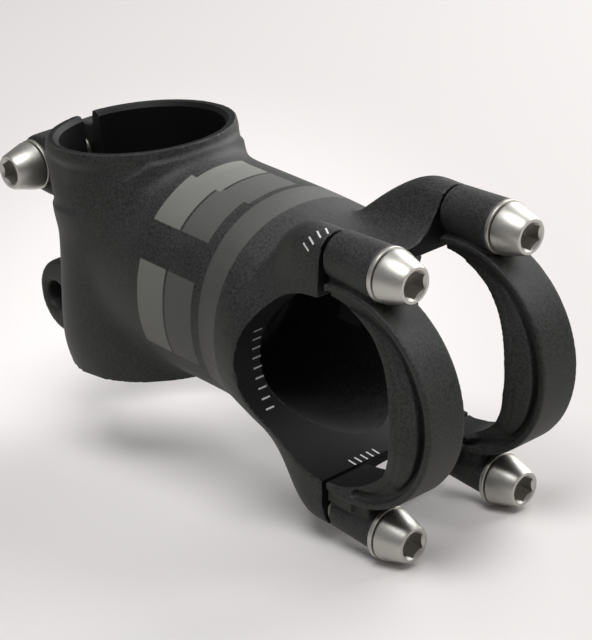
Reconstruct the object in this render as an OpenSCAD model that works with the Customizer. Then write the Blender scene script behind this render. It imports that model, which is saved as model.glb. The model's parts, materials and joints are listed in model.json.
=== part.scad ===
// Threadless bicycle handlebar stem: a forged body, two separate C-shaped faceplate
// bands, four face bolts with washers and two opposed pinch bolts with washers.
// Origin: steerer bore axis at its lower face. +Z up the steerer, +X towards the bar,
// +Y to the rider's left. All lengths in millimetres.

/* [Steerer clamp] */
// Bore for the steerer tube
steerer_d = 28.6; // [25.4:0.1:30]
// Height of the clamp along the steerer
stack_h = 40.5; // [39:0.5:46]
// Height of the flared foot
foot_h = 4.45; // [3:0.05:6]
// Depth of the waist below the top lip
waist_drop = 14.2; // [10:0.1:18]
// Height of the top lip
lip_h = 1.5; // [1:0.1:2.5]
// Wall at the waist of the clamp
waist_wall = 2.1; // [1.8:0.1:3]
// Wall at the top lip
lip_wall = 2.6; // [2.2:0.1:3.4]
// Wall at the flared foot
foot_wall = 3.65; // [3:0.05:4.5]
// Chamfer on the bore's upper end
bore_chamfer = 0.8; // [0.4:0.1:1.2]
// Chamfer on the bore's lower end
foot_chamfer = 0.4; // [0.2:0.1:0.8]
// Width of the slit in the back
slit_w = 3.2; // [2:0.1:4]

/* [Pinch ears] */
// Distance between the two pinch bolts
pinch_spread = 24.8; // [23:0.2:28]
// Metal between the steerer bore and a pinch bolt hole
pinch_web = 4.1; // [3:0.1:5]
// Metal behind a pinch bolt hole
pinch_back = 2.1; // [1.6:0.1:3]
// Radius of the rounded upper ear
upper_ear_r = 5.2; // [5:0.1:6]
// Radius of the taller lower ear
lower_ear_r = 7; // [6:0.1:7.2]
// Thickness of each ear beside the slit
ear_t = 6.7; // [6:0.1:9]

/* [Extension] */
// Steerer axis to bar centre, along the extension
stem_length = 60; // [56:1:110]
// Drop of the extension below level, in degrees
stem_angle = 7; // [0:0.5:9]
// How far below mid stack the extension's centreline leaves the steerer axis
axis_drop = 1.65; // [0:0.05:2]
// How far the top lip stands above the extension at the steerer axis
lip_over = 1.5; // [1.2:0.1:2.5]
// How far the extension's underside stays above the clamp's foot there
foot_under = 2.4; // [1.5:0.1:3.5]
// Half width of the round middle of the extension
tube_half_w = 18.3; // [17.8:0.1:19]
// Narrowing of the extension where it leaves the steerer clamp
back_taper = 4.2; // [3:0.1:5]
// How far the forging reaches behind the steerer axis
forging_back = 8; // [6:0.5:9]
// How far in front of the steerer axis the narrowing ends
blend_reach = 20; // [18:0.5:22]
// Metal outside the face bolts' axes, at the cheeks that hold the bar
cheek_over = 8.3; // [7.8:0.1:9.5]
// Bar centre back to where the cheeks begin to widen
cheek_back = 28; // [26:0.5:32]
// Bar centre back to where the cheeks are full
cheek_front = 15; // [12:0.5:16]
// Radius of the hollow where it opens into the bar clamp
hollow_r = 15.1; // [13:0.1:15.3]
// Radius of the hollow at its blind end
hollow_end_r = 12.6; // [10:0.1:13]
// Metal left between the steerer bore and the hollow
hollow_floor = 8; // [6:0.5:14]

/* [Bar clamp] */
// Bore for the handlebar
bar_d = 31.8; // [31.6:0.1:32]
// Metal over the bar at the middle of the split
crown_wall = 2.1; // [1.8:0.1:2.8]
// Gap between body and faceplate bands
split_gap = 0.6; // [0.3:0.1:1.2]
// Bar surface to a face bolt's axis
bolt_over = 6.3; // [6:0.1:7]
// Distance between the left and right face bolts
bolt_spread = 25; // [24:0.5:27]
// Radius of the upper bolt bosses at the split
upper_boss_r = 3.9; // [3.8:0.1:4.4]
// Radius of the lower bolt bosses at the split
lower_boss_r = 3.2; // [3:0.1:4]
// Bar centre back to where the upper bosses begin to swell
upper_boss_back = 16.5; // [15:0.5:19]
// Bar centre back to where the upper bosses are full
upper_boss_front = 4; // [2:0.5:6]
// Bar centre back to where the lower bosses begin to swell
lower_boss_back = 20; // [17:0.5:22]
// Bar centre back to where the lower bosses are full
lower_boss_front = 3.5; // [2:0.5:6]

/* [Faceplate bands] */
// Split plane to the bolt seats
seat_depth = 10.3; // [9.8:0.1:11.5]
// Radial thickness of a band at its front
band_t = 7.2; // [6.5:0.1:8.5]
// Forward shift of the band's outer curve from the bar centre
band_shift = 4.8; // [4:0.1:5.2]
// Rise of the band's outer curve above the bar centre
band_lift = 0.6; // [0:0.1:0.8]
// Half width of a band at its front, where it touches the bar
band_half_w = 5.3; // [4.8:0.1:6]
// Half width of a band at its upper end
band_tip_half_w = 2.6; // [2:0.1:3.5]
// Half width of a band's outer face
face_half_w = 3.8; // [3.2:0.1:4.4]
// Thickness of a band's outer face
face_t = 1.1; // [0.8:0.1:1.6]
// Half width of the solid between the bar and each boss
root_half_w = 2.6; // [2.4:0.1:3]
// Depth of the groove in each flank
groove_depth = 1.5; // [0.8:0.1:2]
// Radius of the rib's edge in a band's side view
rib_r = 15.3; // [14.8:0.1:15.8]
// Forward shift of the rib's edge from the bar centre
rib_shift = 5.4; // [5:0.1:5.8]
// Radius of the bands' upper bolt bosses at the seats
upper_seat_r = 4.4; // [4.2:0.1:4.8]
// Radius of the bands' lower bolt bosses at the seats
lower_seat_r = 3.7; // [3.5:0.1:4.2]

/* [Bolts and washers] */
// Nominal diameter of all six bolts
bolt_d = 5; // [5:0.1:5.2]
// Length of a face bolt under its head
face_bolt_len = 16; // [15:0.5:17]
// Length of a pinch bolt under its head
pinch_bolt_len = 14; // [12:0.5:17]
// Head radius at the washer
head_base_r = 4.3; // [4:0.05:4.4]
// Head radius at the tip
head_tip_r = 3.14; // [3:0.02:3.6]
// Height of a head
head_h = 4.9; // [4.5:0.1:5.5]
// Hexagon socket across flats
hex_af = 4; // [3:0.5:4]
// Depth of the hexagon socket
hex_depth = 3; // [2:0.1:3.4]
// Radial clearance between a bolt and its hole
bolt_clearance = 0.05; // [0.02:0.01:0.1]
// Washer radius
washer_r = 4.45; // [4.3:0.05:4.7]
// Margin round a washer in its spot face
seat_margin = 0.4; // [0.2:0.05:0.8]
// Washer thickness
washer_t = 0.8; // [0.6:0.1:1]
// Height of the stand-off shoulder under a head
shoulder_h = 0.2; // [0.1:0.05:0.3]

/* [Hidden] */
$fn = 96;

// Small overrun that lets a cut pass clean through a face
cut = 1;
steerer_r = steerer_d / 2;
bar_r = bar_d / 2;
hole_r = bolt_d / 2 + bolt_clearance;
axis_z = stack_h / 2 - axis_drop;

// Pinch bolts lie across the slit, behind the bore
pinch_x = -(steerer_r + pinch_web + hole_r);
ear_back = pinch_x - hole_r - pinch_back;
pinch_high = stack_h / 2 + pinch_spread / 2;
pinch_low = stack_h / 2 - pinch_spread / 2;
ear_face = slit_w / 2 + ear_t;

// Face bolts stand above and below the bar
bolt_u = bar_r + bolt_over;
bolt_y = bolt_spread / 2;
split_s = split_gap / 2;
boss_reach = norm([bolt_u, bolt_y]);
boss_angle = atan2(bolt_u, bolt_y);

// The extension's oval spans the clamp, less the lip above it and the foot below it
tube_half_h = (stack_h - lip_over - foot_under) / 2;
tube_rise = axis_drop + (foot_under - lip_over) / 2;

// Stations of the forged extension, measured from the steerer axis along the centreline
loft_start = -forging_back;
cheek_start = stem_length - cheek_back;
cheek_end = stem_length - cheek_front;
boss_start = stem_length - upper_boss_back;
cheek_half_w = bolt_y + cheek_over;
crown_half_h = bar_r + crown_wall;
section_power = 2.15;

// ---- helpers -------------------------------------------------------------------

// 0 before a, 1 after b and a straight run between them
function ramp(x, a, b) = min(1, max(0, (x - a) / (b - a)));

// The same as a smooth S
function ease(x, a, b) = let (k = ramp(x, a, b)) k * k * (3 - 2 * k);

// Value that eases from p to q as x goes from a to b
function swing(p, q, x, a, b) = p + (q - p) * ease(x, a, b);

// Places children in the extension's frame: x forward along its centreline, y left, z up
module extension_frame() {
    translate([0, 0, axis_z]) rotate([0, stem_angle, 0]) children();
}

// The same frame, moved forward to the centre of the bar
module clamp_frame() {
    extension_frame() translate([stem_length, 0, 0]) children();
}

// Cylinder that runs forward from a point of the clamp frame
module forward_rod(r, from, to, y, u) {
    translate([from, y, u]) rotate([0, 90, 0]) cylinder(r = r, h = to - from);
}

// ---- stem body -------------------------------------------------------------------

// Outer radius of the steerer clamp at height z: flared foot, waist and lip
waist_z = stack_h - waist_drop;
lip_z = stack_h - lip_h;
waist_r = steerer_r + waist_wall;
foot_r = steerer_r + foot_wall;
lip_r = steerer_r + lip_wall;
function barrel_r(z) = z < waist_z
    ? swing(foot_r, waist_r, z, foot_h, waist_z)
    : swing(waist_r, lip_r, z, waist_z, lip_z);

// Solid steerer clamp with a chamfered foot and a rounded lip
module barrel() {
    foot_round = 0.8;
    lip_round = 0.6;
    steps = 18;
    rotate_extrude()
        polygon(concat(
            [[0, 0], [foot_r - foot_round, 0], [foot_r - foot_round / 4, foot_h * 0.6]],
            [for (i = [0:steps])
                let (z = foot_h + (lip_z - foot_h) * i / steps) [barrel_r(z), z]],
            [[lip_r - lip_round / 3, stack_h - lip_round], [lip_r - lip_round, stack_h],
             [0, stack_h]]));
}

// One rounded ear block across the slit, with its web to the clamp
module pinch_ear(z, ear_r) {
    web_end = -steerer_r * 0.8;
    ear_x = ear_back + ear_r;
    translate([0, ear_face, z]) rotate([90, 0, 0]) linear_extrude(height = 2 * ear_face) {
        translate([ear_x, 0]) circle(r = ear_r);
        translate([ear_x, -ear_r]) square([web_end - ear_x, 2 * ear_r]);
    }
}

// Half width, half height and centre height of the extension's section at station t
function section_w(t) = t < blend_reach
    ? tube_half_w - back_taper * pow((blend_reach - t) / (blend_reach - loft_start), 2)
    : swing(tube_half_w, cheek_half_w, t, cheek_start, cheek_end);
function section_h(t) = swing(tube_half_h, crown_half_h, t, cheek_start, cheek_end);
function section_c(t) = swing(tube_rise, 0, t, cheek_start, cheek_end + 6);

// Radius of the plain oval section at angle a from the left side
function oval_r(t, a) =
    pow(pow(abs(cos(a)) / section_w(t), section_power)
      + pow(abs(sin(a)) / section_h(t), section_power), -1 / section_power);

// How far one boss has grown out of the oval at station t
function boss_rise(t, up) = up
    ? 1 - pow(1 - ramp(t, boss_start, stem_length - upper_boss_front), 2)
    : ease(t, stem_length - lower_boss_back, stem_length - lower_boss_front);

// Share of a boss's height at d degrees from its axis: a long outer and a short inner flank
function boss_flank(d) = exp(-pow(d / (d < 0 ? 16 : 9), 2));

// Far side of a boss of radius r seen from the centreline, d degrees off its axis
function boss_top(r, d) =
    let (off = boss_reach * sin(d))
    abs(off) < r ? boss_reach * cos(d) + sqrt(r * r - off * off) : 0;

// Radius of the forged section: the oval with four bosses swelling out of its corners
function forged_r(t, a) =
    let (up = sin(a) >= 0,
         d = atan2(abs(sin(a)), abs(cos(a))) - boss_angle,
         r = up ? upper_boss_r : lower_boss_r,
         base = oval_r(t, boss_angle),
         swell = (boss_reach + r - base) * boss_flank(d))
    oval_r(t, a) + boss_rise(t, up) * max(swell, boss_top(r, d) - base);

// Angles of the section's corners in one quarter, closest where the bosses are
boss_half = 15;
quarter = concat(
    [for (k = [0:4]) k * (boss_angle - boss_half) / 5],
    [for (k = [0:11]) boss_angle - boss_half + k * 2 * boss_half / 12],
    [for (k = [0:1]) boss_angle + boss_half + k * (90 - boss_angle - boss_half) / 2]);
quarter_back = [for (k = [len(quarter) - 1:-1:1]) 180 - quarter[k]];
half_turn = concat(quarter, [90], quarter_back);
loft_angles = concat(half_turn, [for (a = half_turn) a + 180]);

// Corner of the section at station t and angle a, in the extension's frame
function loft_point(t, a) =
    let (r = forged_r(t, a))
    [t, r * cos(a), section_c(t) + r * sin(a)];

// Loft through the stations: the extension, its cheeks and the four swelling bosses
module extension() {
    back = [for (k = [0:6]) loft_start + (cheek_start - loft_start) * k / 7];
    middle = [for (k = [0:4]) cheek_start + (boss_start - cheek_start) * k / 5];
    front = [for (k = [0:14]) boss_start + (stem_length + cut - boss_start) * k / 14];
    stations = concat(back, middle, front);
    n = len(loft_angles);
    rings = len(stations);
    points = [for (t = stations) for (a = loft_angles) loft_point(t, a)];
    // Two triangles between neighbouring corners of neighbouring stations
    skin = [for (k = [0:rings - 2]) for (i = [0:n - 1])
        let (p = k * n + i, q = k * n + (i + 1) % n)
        each [[p, p + n, q], [q, p + n, q + n]]];
    caps = [[for (i = [0:n - 1]) i], [for (i = [n - 1:-1:0]) (rings - 1) * n + i]];
    extension_frame() polyhedron(points = points, faces = concat(skin, caps), convexity = 6);
}

// Steerer bore with both ends chamfered
module steerer_bore() {
    translate([0, 0, -cut]) cylinder(r = steerer_r, h = stack_h + 2 * cut);
    translate([0, 0, -cut])
        cylinder(r1 = steerer_r + foot_chamfer + cut, r2 = steerer_r, h = foot_chamfer + cut);
    translate([0, 0, stack_h - bore_chamfer])
        cylinder(r1 = steerer_r, r2 = steerer_r + bore_chamfer + cut, h = bore_chamfer + cut);
}

// Slit through the back of the steerer clamp
module slit() {
    translate([-2 * steerer_d, -slit_w / 2, -cut]) cube([2 * steerer_d, slit_w, stack_h + 2 * cut]);
}

// Holes through both ears for the pinch bolts
module pinch_holes() {
    for (z = [pinch_low, pinch_high])
        translate([pinch_x, ear_face + cut, z]) rotate([90, 0, 0])
            cylinder(r = hole_r, h = 2 * (ear_face + cut));
}

// Tapered hollow that opens into the bar clamp and ends blind before the steerer bore
module extension_hollow() {
    floor_s = steerer_r + hollow_floor - stem_length;
    translate([floor_s, 0, 0]) rotate([0, 90, 0])
        cylinder(r1 = hollow_end_r, r2 = hollow_r, h = -floor_s - bar_r);
    translate([-bar_r, 0, 0]) rotate([0, 90, 0]) cylinder(r = hollow_r, h = bar_r);
}

// Threaded holes for the face bolts, a little deeper than the bolts reach
module thread_holes() {
    spare = 0.7;
    bolt_tip = seat_depth + washer_t + shoulder_h - face_bolt_len;
    for (y = [-bolt_y, bolt_y], u = [-bolt_u, bolt_u])
        forward_rod(hole_r, bolt_tip - spare, cut, y, u);
}

// Everything in front of the split plane
module in_front_of_split() {
    translate([-split_s, -bar_d, -bar_d]) cube([bar_d, 2 * bar_d, 2 * bar_d]);
}

module stem_body() {
    color("#33363a") difference() {
        union() {
            barrel();
            pinch_ear(pinch_low, lower_ear_r);
            pinch_ear(pinch_high, upper_ear_r);
            extension();
        }
        steerer_bore();
        slit();
        pinch_holes();
        clamp_frame() {
            in_front_of_split();
            rotate([90, 0, 0]) cylinder(r = bar_r, h = 4 * cheek_half_w, center = true);
            extension_hollow();
            thread_holes();
        }
    }
}

// ---- faceplate bands ---------------------------------------------------------------

// Lens that narrows a band's rib towards its ends: two large discs crossing on its centre plane
module band_lens(half_w, tip_half_w) {
    bulge = half_w - tip_half_w;
    arc_r = (bolt_u * bolt_u + bulge * bulge) / (2 * bulge);
    intersection_for (side = [-1, 1])
        translate([0, side * (half_w - arc_r), 0]) rotate([0, 90, 0])
            cylinder(r = arc_r, h = 2 * bar_d);
}

// Disc across a band whose rim is one curve of its side view
module side_disc(r, forward, up, half_w) {
    translate([forward, 0, up]) rotate([90, 0, 0])
        cylinder(r = r, h = 2 * half_w, center = true);
}

// Conical boss from the split to the bolt's seat
module band_boss(u, split_r, seat_r) {
    translate([split_s, 0, u]) rotate([0, 90, 0])
        cylinder(r1 = split_r, r2 = seat_r, h = seat_depth - split_s);
}

// Solid that joins a boss to the arm beside the bar
module band_root(up) {
    low = bar_r + 0.8;
    root_s = seat_depth - 1.5;
    translate([split_s, -root_half_w, up * (low + bolt_u) / 2 - (bolt_u - low) / 2])
        cube([root_s - split_s, 2 * root_half_w, bolt_u - low]);
}

// Everything behind the split plane
module behind_split() {
    translate([split_s - 2 * bar_d, -bar_d, -bar_d]) cube([2 * bar_d, 2 * bar_d, 2 * bar_d]);
}

// One band, built round the plane of its bolts
module faceplate_band(side) {
    outer_r = bar_r + band_t - band_shift;
    color("#2c2f33") clamp_frame() translate([0, side * bolt_y, 0]) difference() {
        union() {
            // Web behind the outer face, sunk between it and the rib
            side_disc(outer_r - face_t / 2, band_shift, band_lift, face_half_w - groove_depth);
            // Outer face
            difference() {
                side_disc(outer_r, band_shift, band_lift, face_half_w);
                side_disc(outer_r - face_t, band_shift, band_lift, bar_d);
            }
            // Rib round the bar
            intersection() {
                side_disc(rib_r, rib_shift, 0, bar_d);
                band_lens(band_half_w, band_tip_half_w);
            }
            band_boss(bolt_u, upper_boss_r, upper_seat_r);
            band_boss(-bolt_u, lower_boss_r, lower_seat_r);
            band_root(1);
            band_root(-1);
        }
        behind_split();
        rotate([90, 0, 0]) cylinder(r = bar_r, h = 4 * band_half_w, center = true);
        for (u = [-bolt_u, bolt_u]) {
            forward_rod(hole_r, -cut, seat_depth + cut, 0, u);
            // Spot face that clears the washer and the head
            forward_rod(washer_r + seat_margin, seat_depth, 2 * bar_d, 0, u);
        }
    }
}

// ---- bolts and washers ---------------------------------------------------------------

// Washer lying on z = 0
module washer() {
    color("#b9bcbf") difference() {
        cylinder(r = washer_r, h = washer_t);
        translate([0, 0, -cut]) cylinder(r = hole_r, h = washer_t + 2 * cut);
    }
}

// Tapered socket head bolt, its head standing on z = washer_t
module bolt(len) {
    chamfer = 0.4;
    shank_r = bolt_d / 2;
    seat = washer_t + shoulder_h;
    color("#c9cbcc") difference() {
        union() {
            translate([0, 0, seat]) cylinder(r1 = head_base_r, r2 = head_tip_r, h = head_h);
            // Shoulder that leaves the thin dark line under the head
            translate([0, 0, washer_t]) cylinder(r = head_base_r - 0.6, h = shoulder_h);
            translate([0, 0, seat - len + chamfer]) cylinder(r = shank_r, h = len - chamfer);
            translate([0, 0, seat - len]) cylinder(r1 = shank_r - chamfer, r2 = shank_r, h = chamfer);
        }
        translate([0, 0, seat + head_h - hex_depth])
            cylinder(r = hex_af / 2 / cos(30), h = hex_depth + cut, $fn = 6);
    }
}

// Places children on a face bolt's seat, z along the bolt and out of the band
module on_face_seat(side, up) {
    clamp_frame() translate([seat_depth, side * bolt_y, up * bolt_u]) rotate([0, 90, 0]) children();
}

// Places children on a pinch bolt's seat: the upper bolt enters from the right, the lower from the left
module on_pinch_seat(up) {
    translate([pinch_x, -up * ear_face, up > 0 ? pinch_high : pinch_low])
        rotate([up * 90, 0, 0]) children();
}

stem_body();
faceplate_band(-1);  // faceplate_band_right
faceplate_band(1);  // faceplate_band_left
on_face_seat(-1, 1) washer();  // washer_upper_right
on_face_seat(-1, -1) washer();  // washer_lower_right
on_face_seat(1, 1) washer();  // washer_upper_left
on_face_seat(1, -1) washer();  // washer_lower_left
on_face_seat(-1, 1) bolt(face_bolt_len);  // face_bolt_upper_right
on_face_seat(-1, -1) bolt(face_bolt_len);  // face_bolt_lower_right
on_face_seat(1, 1) bolt(face_bolt_len);  // face_bolt_upper_left
on_face_seat(1, -1) bolt(face_bolt_len);  // face_bolt_lower_left
on_pinch_seat(1) washer();  // pinch_washer_upper
on_pinch_seat(-1) washer();  // pinch_washer_lower
on_pinch_seat(1) bolt(pinch_bolt_len);  // pinch_bolt_upper
on_pinch_seat(-1) bolt(pinch_bolt_len);  // pinch_bolt_lower
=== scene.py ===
"""Short forged handlebar stem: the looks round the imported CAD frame, in metres."""
import json
import math

import bpy
from mathutils import Matrix, Vector
from mathutils.bvhtree import BVHTree


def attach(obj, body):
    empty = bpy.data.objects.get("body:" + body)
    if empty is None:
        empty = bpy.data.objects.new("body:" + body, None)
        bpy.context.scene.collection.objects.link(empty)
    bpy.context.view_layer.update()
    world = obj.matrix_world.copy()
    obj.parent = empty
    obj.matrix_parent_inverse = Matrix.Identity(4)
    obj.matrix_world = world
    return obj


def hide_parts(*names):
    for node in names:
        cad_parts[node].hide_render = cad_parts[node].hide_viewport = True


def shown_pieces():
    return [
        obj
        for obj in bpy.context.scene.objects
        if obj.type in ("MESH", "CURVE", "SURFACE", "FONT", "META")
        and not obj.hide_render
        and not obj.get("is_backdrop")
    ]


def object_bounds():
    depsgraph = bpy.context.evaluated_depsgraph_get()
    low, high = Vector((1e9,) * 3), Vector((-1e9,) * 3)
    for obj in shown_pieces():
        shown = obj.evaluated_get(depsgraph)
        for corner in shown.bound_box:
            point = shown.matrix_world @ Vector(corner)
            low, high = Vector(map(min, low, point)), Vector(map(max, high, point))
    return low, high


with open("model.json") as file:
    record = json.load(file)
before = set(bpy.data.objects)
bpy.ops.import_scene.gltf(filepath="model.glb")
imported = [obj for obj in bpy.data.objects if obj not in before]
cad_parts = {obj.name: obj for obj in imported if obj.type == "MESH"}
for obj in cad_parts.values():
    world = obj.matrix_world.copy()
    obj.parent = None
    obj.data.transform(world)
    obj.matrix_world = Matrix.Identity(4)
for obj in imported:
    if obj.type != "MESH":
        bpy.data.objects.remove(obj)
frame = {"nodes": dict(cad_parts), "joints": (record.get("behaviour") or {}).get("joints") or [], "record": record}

bl_info = {
    "name": "Forged handlebar stem",
    "version": (1, 0, 0),
    "blender": (4, 5, 0),
    "location": "3D View > Sidebar > Stem",
    "description": "Models and finishes a short threadless handlebar stem with two clamp bands",
    "category": "Add Mesh",
}

CAD_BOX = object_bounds()
MM = 0.001
RECORD = frame["record"]
MOUNTS = {m["name"]: m for m in RECORD["mounts"]}
JOINTS = {j["name"]: j for j in frame["joints"]}

# Image points in the photograph's 592 x 640 frame, read off, and moved where the model differs
IMAGE_W, IMAGE_H = 592, 640
IMAGE_POINTS = {
    "near_upper_bolt_tip": (414.2, 284.5),
    "near_lower_bolt_tip": (414.4, 546.3),
    "far_upper_bolt_tip": (530.0, 236.8),
    "far_lower_bolt_tip": (523.0, 488.5),
    "rear_pinch_bolt_tip": (13.3, 170.8),
    "steerer_rim_left": (53.9, 137.2),
    "steerer_rim_right": (230.5, 119.8),
    "foot_lowest": (139.3, 381.2),
    "near_band_front": (464.2, 418.1),
    "print_top": (231.0, 173.0),
    "print_corner": (184.0, 200.0),
    "print_side": (150.0, 309.0),
    "ring_stripe": (222.0, 262.0),
    "boss_marks_first": (306.0, 247.0),
    "boss_marks_last": (327.0, 231.0),
    "bore_marks_upper": (258.0, 330.0),
    "bore_marks_lower": (270.0, 408.0),
    "seat_marks": (364.0, 457.0),
}

# The camera fitted to the photograph's edges, in degrees and millimetres
CAMERA_AZIMUTH = 50.016
CAMERA_ELEVATION = 20.711
CAMERA_ROLL = -6.011
CAMERA_AIM = (30.73, 3.99, 10.19)
CAMERA_DISTANCE = 414.71
CAMERA_LENS = 139.24
SENSOR_WIDTH = 36.0
SHIFT_X = 0.0
SHIFT_Y = 0.0

LONG_SIDE = max(IMAGE_W, IMAGE_H)
# How often a ray that misses is drawn to the nearest place
NEAREST_ROUNDS = 40

# ---- directions of the clamp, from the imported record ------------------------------

BAR_CENTRE = Vector(MOUNTS["bar_clamp"]["pos_m"])
FORWARD = Vector(JOINTS["right_band_off"]["axis"]).normalized()
LEFT = Vector((0, 1, 0))
UP = FORWARD.cross(LEFT)
BAR_R = MOUNTS["bar_clamp"]["dims"]["r_mm"] * MM
BORE_R = MOUNTS["steerer_bore"]["dims"]["r_mm"] * MM
ABOVE = Vector((0, 0, 1))
CLAMP_TOP = MOUNTS["upper_face"]["pos_m"][2]

# How far the cutters reach, longer than the part is wide
REACH = 60 * MM
# Triangles that one forged piece may keep, and the sharpest edge that shades smooth
TRIANGLES = 170000
SMOOTH_ANGLE = math.radians(32)
# A vertex weight below this moves nothing that shows
LEAST_WEIGHT = 0.004

# Where the skin's smoothing starts and is full, in mm from the bores, split, top and foot
STEERER_EDGE, BAR_EDGE = (0.6, 1.6), (0.3, 1.2)
SPLIT_EDGE, TOP_EDGE, FOOT_EDGE = (0.2, 1.2), (0.1, 0.9), (0, 0.6)
# The steerer's bore lies behind this place along the clamp, and its ends within this radius
BORE_FRONT, CLAMP_R = -20, 30
# The crease between clamp and extension, in mm: its radius, how it fades and where it starts
CREASE_R, CREASE_FADE, CREASE_FRONT = 17.4, (1.5, 5.5), (-12, -2)
# The ridge round the steerer clamp: degrees from straight ahead, height in mm
RIDGE = ((0, 39.0), (35, 38.5), (50, 36.3), (67, 31.8), (87, 29.7), (124, 29.1), (180, 29.1))
# How the ridge rises at its line and fades below it and towards the extension, in mm
RIDGE_RISE, RIDGE_BELOW, RIDGE_OUT, RIDGE_R = (-0.5, 0.4), (1, 6), (19, 23), 24
# The neck between ridge and lip, in mm, and where it ends at the back, in degrees
NECK_RISE, NECK_LIP, NECK_UNDER, NECK_R, NECK_SIDES = (-0.5, 6), 1.4, (0, 2), 22, (100, 125)
# The slit's cutter starts this far behind the steerer's axis, in mm
SLIT_FRONT = 10

# Half width in mm of a band's flank beside the bar, by degrees from straight ahead
FLANK = ((-90, 3.3), (-75, 3.2), (-60, 2.6), (-42, 2.6), (-35, 3.5), (-12, 5.2), (6, 5.3),
         (20, 4.6), (36, 3.6), (51, 2.9), (62, 2.7), (75, 2.6))
# The most that a flank's point moves in, and the least half width that it leaves
FLANK_MOST = 3 * MM
FLANK_LEAST = 2.4 * MM
# The inner flank stands wider by this much at the lower root, from and to these degrees
ROOT_WIDER, ROOT_FROM, ROOT_TO = 1.8 * MM, 60, 68
# Where the bands' smoothing starts and is full, in mm from the bar and the split
BAND_BAR_EDGE, BAND_SPLIT_EDGE = (0.1, 0.6), (0.1, 0.7)
# The rib's slope counts over this width; its flank ends this far past its edge
SLOPE_RUN, RIB_MARGIN = 3 * MM, 0.25 * MM
# The thin groove beside the rim: depth and half width
GROOVE_D, GROOVE_W = 0.3 * MM, 0.45 * MM
# The block under the lower root, in mm ahead of and below the bar's axis and inwards; its size
ROOT_AHEAD, ROOT_BELOW, ROOT_INWARDS = 2.9, 17.3, 0.9
ROOT_SIZE = (8.4 * MM, 4.4 * MM, 5.6 * MM)

# White ticks in each row, and the vertices of one
BORE_TICKS, SEAT_TICKS, BOSS_TICKS = 9, 5, 4
SEAT_GAP = 1.3 * MM
TICK_VERTICES = 8

# Lamps as name, place and width in metres, and watts; where they aim; the world's light
LAMPS = (("key_softbox", (0.2, -0.2, 0.8), 0.5, 5.0),
         ("back_softbox", (0.05, 0.7, 0.45), 0.9, 8.0))
LAMP_AIM = (0.03, 0, 0.01)
WORLD_STRENGTH = 0.25
# The floor's radius and gap under the stem; the painted pool of light on it, behind and left of the aim, all in
# metres, how far that painted light is drawn out away from the camera, and where it starts to fade
FLOOR_R, FLOOR_GAP = 3, 0.02 * MM
FLOOR_CENTRE, FLOOR_LEFT, FLOOR_SQUASH = 0.05, 0.025, 0.36
PAINTED_LIGHT_FADE = (0.02, 0.085)

# The Mix node's colour sockets, which share their names with its other kinds
MIX_A, MIX_B, MIX_RESULT = 6, 7, 2


def clamp_place(point):
    """Coordinates of a point in the bar clamp's frame: forward, left and up, in metres."""
    offset = point - BAR_CENTRE
    return offset.dot(FORWARD), offset.y, offset.dot(UP)


def camera_axes():
    """The camera's right, up and back in the frame."""
    a, e, r = (math.radians(v) for v in (CAMERA_AZIMUTH, CAMERA_ELEVATION, CAMERA_ROLL))
    back = Vector((math.sin(a) * math.cos(e), -math.cos(a) * math.cos(e), math.sin(e)))
    right = Vector((math.cos(a), math.sin(a), 0))
    up = back.cross(right)
    return (right * math.cos(r) + up * math.sin(r),
            up * math.cos(r) - right * math.sin(r), back)


def camera_place():
    """The camera's own place in the frame."""
    return Vector(CAMERA_AIM) * MM + camera_axes()[2] * CAMERA_DISTANCE * MM


def image_place(point):
    """Where a point of the frame shows in the photograph's image."""
    right, up, back = camera_axes()
    offset = point - camera_place()
    scale = LONG_SIDE * CAMERA_LENS / SENSOR_WIDTH / -offset.dot(back)
    return (IMAGE_W / 2 - SHIFT_X * LONG_SIDE + offset.dot(right) * scale,
            IMAGE_H / 2 + SHIFT_Y * LONG_SIDE - offset.dot(up) * scale)


def carrier_tree(piece):
    """The surface of a finished piece, for rays to meet."""
    mesh = piece.data
    return BVHTree.FromPolygons([v.co for v in mesh.vertices],
                                [tuple(face.vertices) for face in mesh.polygons])


def place_on(tree, name):
    """Where the ray through a named image point meets the carrier, and the normal there.

    A miss takes the carrier's place nearest the ray.
    """
    x, y = IMAGE_POINTS[name]
    right, up, back = camera_axes()
    ray = (right * (x - IMAGE_W / 2 + SHIFT_X * LONG_SIDE)
           + up * (IMAGE_H / 2 - y + SHIFT_Y * LONG_SIDE)
           - back * (LONG_SIDE * CAMERA_LENS / SENSOR_WIDTH)).normalized()
    start = camera_place()
    place, normal, _, _ = tree.ray_cast(start, ray)
    if place is None:
        on_ray = start + ray * CAMERA_DISTANCE * MM
        for _ in range(NEAREST_ROUNDS):
            place, normal, _, _ = tree.find_nearest(on_ray)
            on_ray = start + ray * (place - start).dot(ray)
    return place, normal


# ---- helpers for modelling -------------------------------------------------------

def deselect():
    """Leaves edit mode with nothing selected."""
    if bpy.context.object and bpy.context.object.mode != "OBJECT":
        bpy.ops.object.mode_set(mode="OBJECT")
    bpy.ops.object.select_all(action="DESELECT")


def pick(piece):
    """Makes piece the only selected object, and the active one."""
    deselect()
    piece.select_set(True)
    bpy.context.view_layer.objects.active = piece


def merge_doubles(piece, distance=1e-6, outward=False):
    """Merges vertices nearer than distance in metres, and can turn the faces outwards."""
    pick(piece)
    bpy.ops.object.mode_set(mode="EDIT")
    bpy.ops.mesh.select_all(action="SELECT")
    bpy.ops.mesh.remove_doubles(threshold=distance)
    if outward:
        bpy.ops.mesh.normals_make_consistent(inside=False)
    bpy.ops.object.mode_set(mode="OBJECT")


def copy_of_node(node, name):
    """A merged copy of a CAD node's mesh, as a new object at the origin."""
    piece = bpy.data.objects.new(name, frame["nodes"][node].data.copy())
    piece.data.name = name
    piece.data.materials.clear()
    bpy.context.scene.collection.objects.link(piece)
    merge_doubles(piece)
    return piece


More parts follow.
